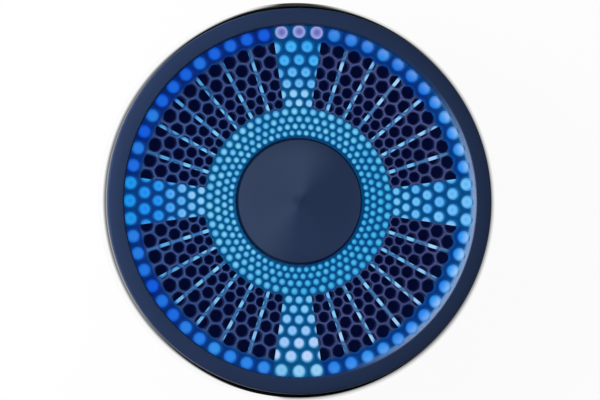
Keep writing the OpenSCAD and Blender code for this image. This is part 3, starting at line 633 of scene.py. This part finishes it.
# Status lights. Three clear moulded rods with domed ends that stand on the opal plate in holes
# of the outer row and carry a lavender light; their rims are brighter than their middles.
rod_r = outer_row * hole - 0.1
rod_low, rod_shoulder, rod_round = 24.1, 27.25, 0.25
rod_dome = [(0.8, 27.56), (0.4, 27.6), (0, 27.61)]
mesh = bmesh.new()
rim_layer = mesh.verts.layers.float.new("rim")
for i in (-1, 0, 1):
    made = turned(mesh, [(0, rod_low), (rod_r, rod_low)]
                  + bend((rod_r - rod_round, rod_shoulder), rod_round, 0, 75)
                  + rod_dome, steps=32, closed=False)
    for v in made:
        v[rim_layer] = min(1.0, v.co.xy.length / (rod_r * MM))
    turn = math.pi / 2 + i * pitch
    spot = Vector((math.cos(turn), math.sin(turn), 0)) * outer_row * MM
    bmesh.ops.translate(mesh, verts=made, vec=spot)
lavender, tree, shader = new_material("lavender_rod")
near_rim = ramp(tree, add(tree, "Attribute", attribute_name="rim").outputs["Fac"], 0.25, 0.85, 0.0, 1.0)
feed(tree, shader.inputs["Emission Color"], tint(tree, near_rim, paint(94, 106, 180), paint(150, 153, 217)))
shader.inputs["Emission Strength"].default_value = 1.0
shader.inputs["Base Color"].default_value = (0.03, 0.03, 0.05, 1)
shader.inputs["Roughness"].default_value = 0.3
shader.inputs["Specular IOR Level"].default_value = 0.2
piece(mesh, "status_rods", lavender, stands_for=["indicator_pipes"])

# Grille. A navy moulded plate whose rows of round holes grow outwards in a fixed ratio, so each
# hole has six even neighbours; every hole has a small rounded rim. The plate's colour carries
# painted light: a glow of the screen over the lit zones and along the slits, shade at the hole
# rims, and highlights at the right.
# One flat six-sided cell with its hole is made first, then laid out along a row of each size.
hole_rim, hole_sides = 0.0042, 24
eighth_turn, lower_side = 0.293, 1.0
grille_top, grille_low, grille_middle = 28.0, 26.4, 27.2
hub_hole_r, plate_r, edge_round = 14.43, 41.5, 0.12
between_r = 25
light_side, light_spread = (0.956, -0.292), (0.5, 0.97)
mesh = bmesh.new()
edge_layer = mesh.verts.layers.float.new("edge")
bmesh.ops.create_circle(mesh, segments=6, radius=pitch / math.sqrt(3))
bmesh.ops.subdivide_edges(mesh, edges=mesh.edges[:], cuts=hole_sides // 6 - 1)
outline = mesh.edges[:]
corners = [v.co.xy for v in mesh.verts]
for v in bmesh.ops.create_circle(mesh, segments=hole_sides, radius=hole + hole_rim)["verts"]:
    v[edge_layer] = 1.0
inner = [e for e in mesh.edges if e not in set(outline)]
bmesh.ops.bridge_loops(mesh, edges=outline + inner)
for reach, drop in ((hole + eighth_turn * hole_rim, eighth_turn * hole_rim), (hole, hole_rim),
                    (hole, lower_side), (None, lower_side)):
    made = bmesh.ops.extrude_edge_only(mesh, edges=inner)["geom"]
    inner = [e for e in made if isinstance(e, bmesh.types.BMEdge)]
    for v in {v for e in inner for v in e.verts}:
        way = v.co.xy.normalized()
        v.co.xy = way * reach if reach else min(corners, key=lambda c: (c.normalized() - way).length)
        v.co.z = -drop
cell = mesh.verts[:] + mesh.edges[:] + mesh.faces[:]
for row in range(rows):
    copy = bmesh.ops.duplicate(mesh, geom=cell)["geom"]
    row_r = outer_row * math.exp((row - rows + 1) * row_step)
    turn = math.pi / 2 + (rows - 1 - row) % 2 * pitch / 2
    for v in (v for v in copy if isinstance(v, bmesh.types.BMVert)):
        reach, a = row_r * math.exp(v.co.y), turn + v.co.x
        z = grille_low if v.co.z < -lower_side / 2 else grille_top + v.co.z * row_r
        v.co = Vector((reach * math.cos(a), reach * math.sin(a), z)) * MM
bmesh.ops.delete(mesh, geom=cell, context="VERTS")
bmesh.ops.spin(mesh, geom=mesh.verts[:] + mesh.edges[:] + mesh.faces[:], cent=(0, 0, 0), axis=(0, 0, 1),
               angle=pitch * (round_count - 1), steps=round_count - 1, use_duplicate=True)
bmesh.ops.remove_doubles(mesh, verts=mesh.verts, dist=1e-6)


def grow(mesh, edges, reach, z):
    """Extrudes a loop of edges onto a circle, and gives back the new loop."""
    made = bmesh.ops.extrude_edge_only(mesh, edges=edges)["geom"]
    loop = [e for e in made if isinstance(e, bmesh.types.BMEdge)]
    for v in {v for e in loop for v in e.verts}:
        v.co.xy *= reach * MM / v.co.xy.length
        v.co.z = z * MM
    return loop


def border_part(edges, inside, top):
    return [e for e in edges if (e.verts[0].co.xy.length < between_r * MM) == inside
            and (e.verts[0].co.z > grille_middle * MM) == top]


border = [e for e in mesh.edges if e.is_boundary]
for inside, edge_r, soft in ((True, hub_hole_r, edge_round), (False, plate_r, -edge_round)):
    upper = grow(mesh, border_part(border, inside, True), edge_r + soft, grille_top)
    upper = grow(mesh, upper, edge_r, grille_top - edge_round)
    lower = grow(mesh, border_part(border, inside, False), edge_r, grille_low)
    bmesh.ops.bridge_loops(mesh, edges=upper + lower)
bmesh.ops.recalc_face_normals(mesh, faces=mesh.faces)

grille_navy, tree, shader = new_material("grille_navy")
pits, patches = grained(tree, 0.12)
screen = add(tree, "Group", node_tree=screen_light)
screen.inputs["Offset"].default_value = (0.41 * MM, 0.14 * MM, 0)
screen = screen.outputs
at_hole = add(tree, "Attribute", attribute_name="edge").outputs["Fac"]
place, radius, outward = round_place(tree, add(tree, "TexCoord").outputs["Object"])
# Painted highlight: the webs are painted greyer towards the right, where the key light at the left glints on
# the hole rims.
on_right = ramp(tree, place["X"], -28 * MM, 28 * MM, 0.0, 1.0)
bare = tint(tree, on_right, paint(54, 81, 137), paint(75, 85, 140))
web = tint(tree, ramp(tree, patches, 0.3, 0.7, 0.0, 0.35), bare, paint(34, 52, 104))
# Painted shade: the webs darken towards each hole, where the rounded rim turns down into it.
web_rim_shaded = tint(tree, ramp(tree, at_hole, 0.25, 1.0, 0.0, 1.0), web, paint(13, 22, 64))
# Over the lit zones the plate's own colour is painted dark, and the painted glow below takes its place.
feed(tree, shader.inputs["Base Color"], tint(tree, screen["Lit"], web_rim_shaded, paint(3, 18, 40)))
feed(tree, shader.inputs["Roughness"], ramp(tree, pits, 0.3, 0.7, 0.38, 0.52))
relief(tree, shader, pits, 0.4, 0.006)
# Painted glow: the screen's light is painted onto the plate over the lit zones, brightest at the hole rims,
# and faintly along the slits.
halo = tint(tree, at_hole, (0.008, 0.145, 0.235, 1), (0.016, 0.335, 0.45, 1))
spill = tint(tree, calc(tree, "MULTIPLY", screen["Slit"], 0.34), (0, 0, 0, 1), screen["Light"])
shine = tint(tree, screen["Lit"], spill, filtered(tree, screen["Light"], halo))
# Painted highlight: a pale glow on the plate's outer edge next to the bezel, on the side that faces the key
# light at the left.
by_wall = ramp(tree, turned_to(tree, outward, *light_side), *light_spread, 0.0, 1.0)
glow = calc(tree, "MULTIPLY", by_wall, ramp(tree, radius, 38.7 * MM, 39.4 * MM, 0.0, 1.0))
feed(tree, shader.inputs["Emission Color"], tint(tree, glow, shine, paint(112, 152, 200)))
shader.inputs["Emission Strength"].default_value = 1.0
shader.inputs["Specular IOR Level"].default_value = 0.12
piece(mesh, "face_plate", grille_navy, stands_for=["grille"])

# Bezel. A moulded ring in satin navy paint, glued on the end of the housing's neck, where it
# holds down the rim of the grille; it has a slightly crowned top, a leaning inner wall and a soft
# outer edge. The inner wall is painted pale where it faces the key light at the left, a painted
# highlight, and dark blue on the other sides.
bezel_in, bezel_out, bezel_low, skirt_r = 39.55, 43.45, 26.4, 41.6
inner_lip = bend((40.2, 29.55), 0.45, 165, 90, 8)
crown = bend((41.0, 19.0), 11.0, 90, 80.5, 6)
outer_lip = bend((42.95, 29.33), 0.5, 78, 0, 6)
under_lip = [(bezel_out, 26.55)] + bend((43.3, 26.55), 0.15, 0, -90, 3)
bezel_section = ([(bezel_in, grille_top)] + inner_lip + crown + outer_lip + under_lip
                 + [(skirt_r, bezel_low), (skirt_r, grille_top)])
navy_satin = moulded("navy_satin", plain_colour(38, 53, 84), plain_colour(34, 48, 78), 0.45, 0.10, 0.004,
                     gloss=0.1)
tree = navy_satin.node_tree
colour = tree.nodes["Principled BSDF"].inputs["Base Color"]
_, radius, outward = round_place(tree, add(tree, "TexCoord").outputs["Object"])
# Painted highlight: the inner wall's colour goes from dark blue to pale as it turns towards the key light at
# the left.
on_wall = ramp(tree, radius, 39.72 * MM, 40.15 * MM, 1.0, 0.0)
to_light = ramp(tree, turned_to(tree, outward, *light_side), *light_spread, 0.0, 1.0)
wall = tint(tree, to_light, (0.010, 0.035, 0.110, 1), (0.19, 0.26, 0.41, 1))
feed(tree, colour, tint(tree, on_wall, colour.links[0].from_socket, wall))
mesh = bmesh.new()
turned(mesh, bezel_section, steps=256)
piece(mesh, "bezel_ring", navy_satin, stands_for=["top_bezel"])

# Trim ring. A chrome-plated band with a flat back, rounded shoulders and a short upright face,
# slid over the neck of the housing.
trim_back, trim_top, trim_low = 42.45, 26.2, 19.8
shoulder_r, shoulder_round, upper_z, lower_z = 42.2, 2.8, 23.62, 22.38
chrome, tree, shader = new_material("polished_chrome")
pits, patches = grained(tree, 6.0)
plating = tint(tree, patches, (0.965, 0.970, 0.975, 1), (0.940, 0.945, 0.955, 1))
feed(tree, shader.inputs["Base Color"], plating)
feed(tree, shader.inputs["Roughness"], ramp(tree, pits, 0.3, 0.7, 0.05, 0.09))
shader.inputs["Metallic"].default_value = 1.0
mesh = bmesh.new()
shoulders = (bend((shoulder_r, upper_z), shoulder_round, 67, 0, 14)
             + bend((shoulder_r, lower_z), shoulder_round, 0, -67, 14))
turned(mesh, [(trim_back, trim_top), (trim_back, trim_low)] + shoulders[::-1], steps=256)
piece(mesh, "trim_band", chrome, stands_for=["trim_ring"])

# Return spring. A coil of hard steel wire round the switch, between the light board and the
# button's piston; in the receiver it gets shorter as the button goes down, but here it is made at
# its rest length only.
spring_r, wire_r, wire_sides = 5.6, 0.25, 12
turns, steps_a_turn = 4, 40
spring_low, spring_high, travel = 20.32, 25.66, 0.6
steel_wire = moulded("spring_wire", (0.55, 0.56, 0.57), (0.45, 0.46, 0.48), 0.28, 0.2, 0.002, metallic=1.0)
mesh = bmesh.new()
wire_end = Matrix.Translation(Vector((spring_r, 0, spring_low + wire_r)) * MM)
bmesh.ops.create_circle(mesh, segments=wire_sides, radius=wire_r * MM,
                        matrix=wire_end @ Matrix.Rotation(math.pi / 2, 4, "X"))
rise = (spring_high - spring_low - 2 * wire_r) / (turns * steps_a_turn)
bmesh.ops.spin(mesh, geom=mesh.verts[:] + mesh.edges[:], cent=(0, 0, 0), axis=(0, 0, 1),
               dvec=(0, 0, rise * MM), angle=2 * math.pi * turns, steps=turns * steps_a_turn)
bmesh.ops.holes_fill(mesh, edges=[e for e in mesh.edges if e.is_boundary], sides=wire_sides)
bmesh.ops.recalc_face_normals(mesh, faces=mesh.faces)
coil = piece(mesh, "coil_spring", steel_wire, stands_for=["return_spring"])
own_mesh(coil)

# Button. A turned aluminium disc, anodised navy, with the fine rings of the cutter, a shallow
# cone and a rounded rim; it is bonded to a moulded piston and pressed with a thumb.
disc_r, disc_low, disc_ease, rim_round, rim_z = 14.1, 27.2, 0.2, 0.35, 28.05
cone = [(10, 28.56), (6, 28.70), (2, 28.84), (0, 28.9)]
disc_section = ([(0, disc_low), (disc_r - disc_ease, disc_low), (disc_r, disc_low + disc_ease)]
                + bend((disc_r - rim_round, rim_z), rim_round, 0, 86, 6) + cone)
rings_per_metre = 9000.0
dim_navy, lit_side_navy = paint(62, 82, 126), paint(92, 114, 156)
ring_navy, rim_navy = paint(96, 118, 162), paint(60, 88, 138)
spun, tree, shader = new_material("spun_navy")
_, radius, outward = round_place(tree, add(tree, "TexCoord").outputs["Object"])
cutter = {"W": calc(tree, "MULTIPLY", radius, rings_per_metre), "Scale": 1.0, "Detail": 3.0}
rings = add(tree, "TexNoise", cutter, noise_dimensions="1D").outputs["Fac"]
# Painted sheen: the disc is painted lighter on the side towards the key light at the left and dimmer on the
# far side, and it is painted darker at the very middle.
to_left = ramp(tree, turned_to(tree, outward, -0.899, 0.438), -0.48, 0.45, 0.0, 1.0)
on_rim = ramp(tree, radius, 13.7 * MM, 13.95 * MM, 0.0, 1.0)
ringed = tint(tree, calc(tree, "MULTIPLY", rings, 0.3), tint(tree, to_left, dim_navy, lit_side_navy), ring_navy)
ringed = tint(tree, ramp(tree, radius, 0.3 * MM, 2.4 * MM, 0.6, 0.0), ringed, dim_navy)
feed(tree, shader.inputs["Base Color"], tint(tree, on_rim, ringed, rim_navy))
feed(tree, shader.inputs["Roughness"], calc(tree, "ADD", ramp(tree, rings, 0.3, 0.7, 0.34, 0.44),
                                            calc(tree, "MULTIPLY", on_rim, 0.35)))
relief(tree, shader, rings, 0.3, 0.004)
feed(tree, shader.inputs["Tangent"],
     add(tree, "Tangent", direction_type="RADIAL", axis="Z").outputs["Tangent"])
shader.inputs["Metallic"].default_value = 1.0
shader.inputs["Anisotropic"].default_value = 0.2
mesh = bmesh.new()
turned(mesh, disc_section, steps=160, closed=False)
piece(mesh, "button_disc", spun, body="button", stands_for=["button_cap"], crease=50)
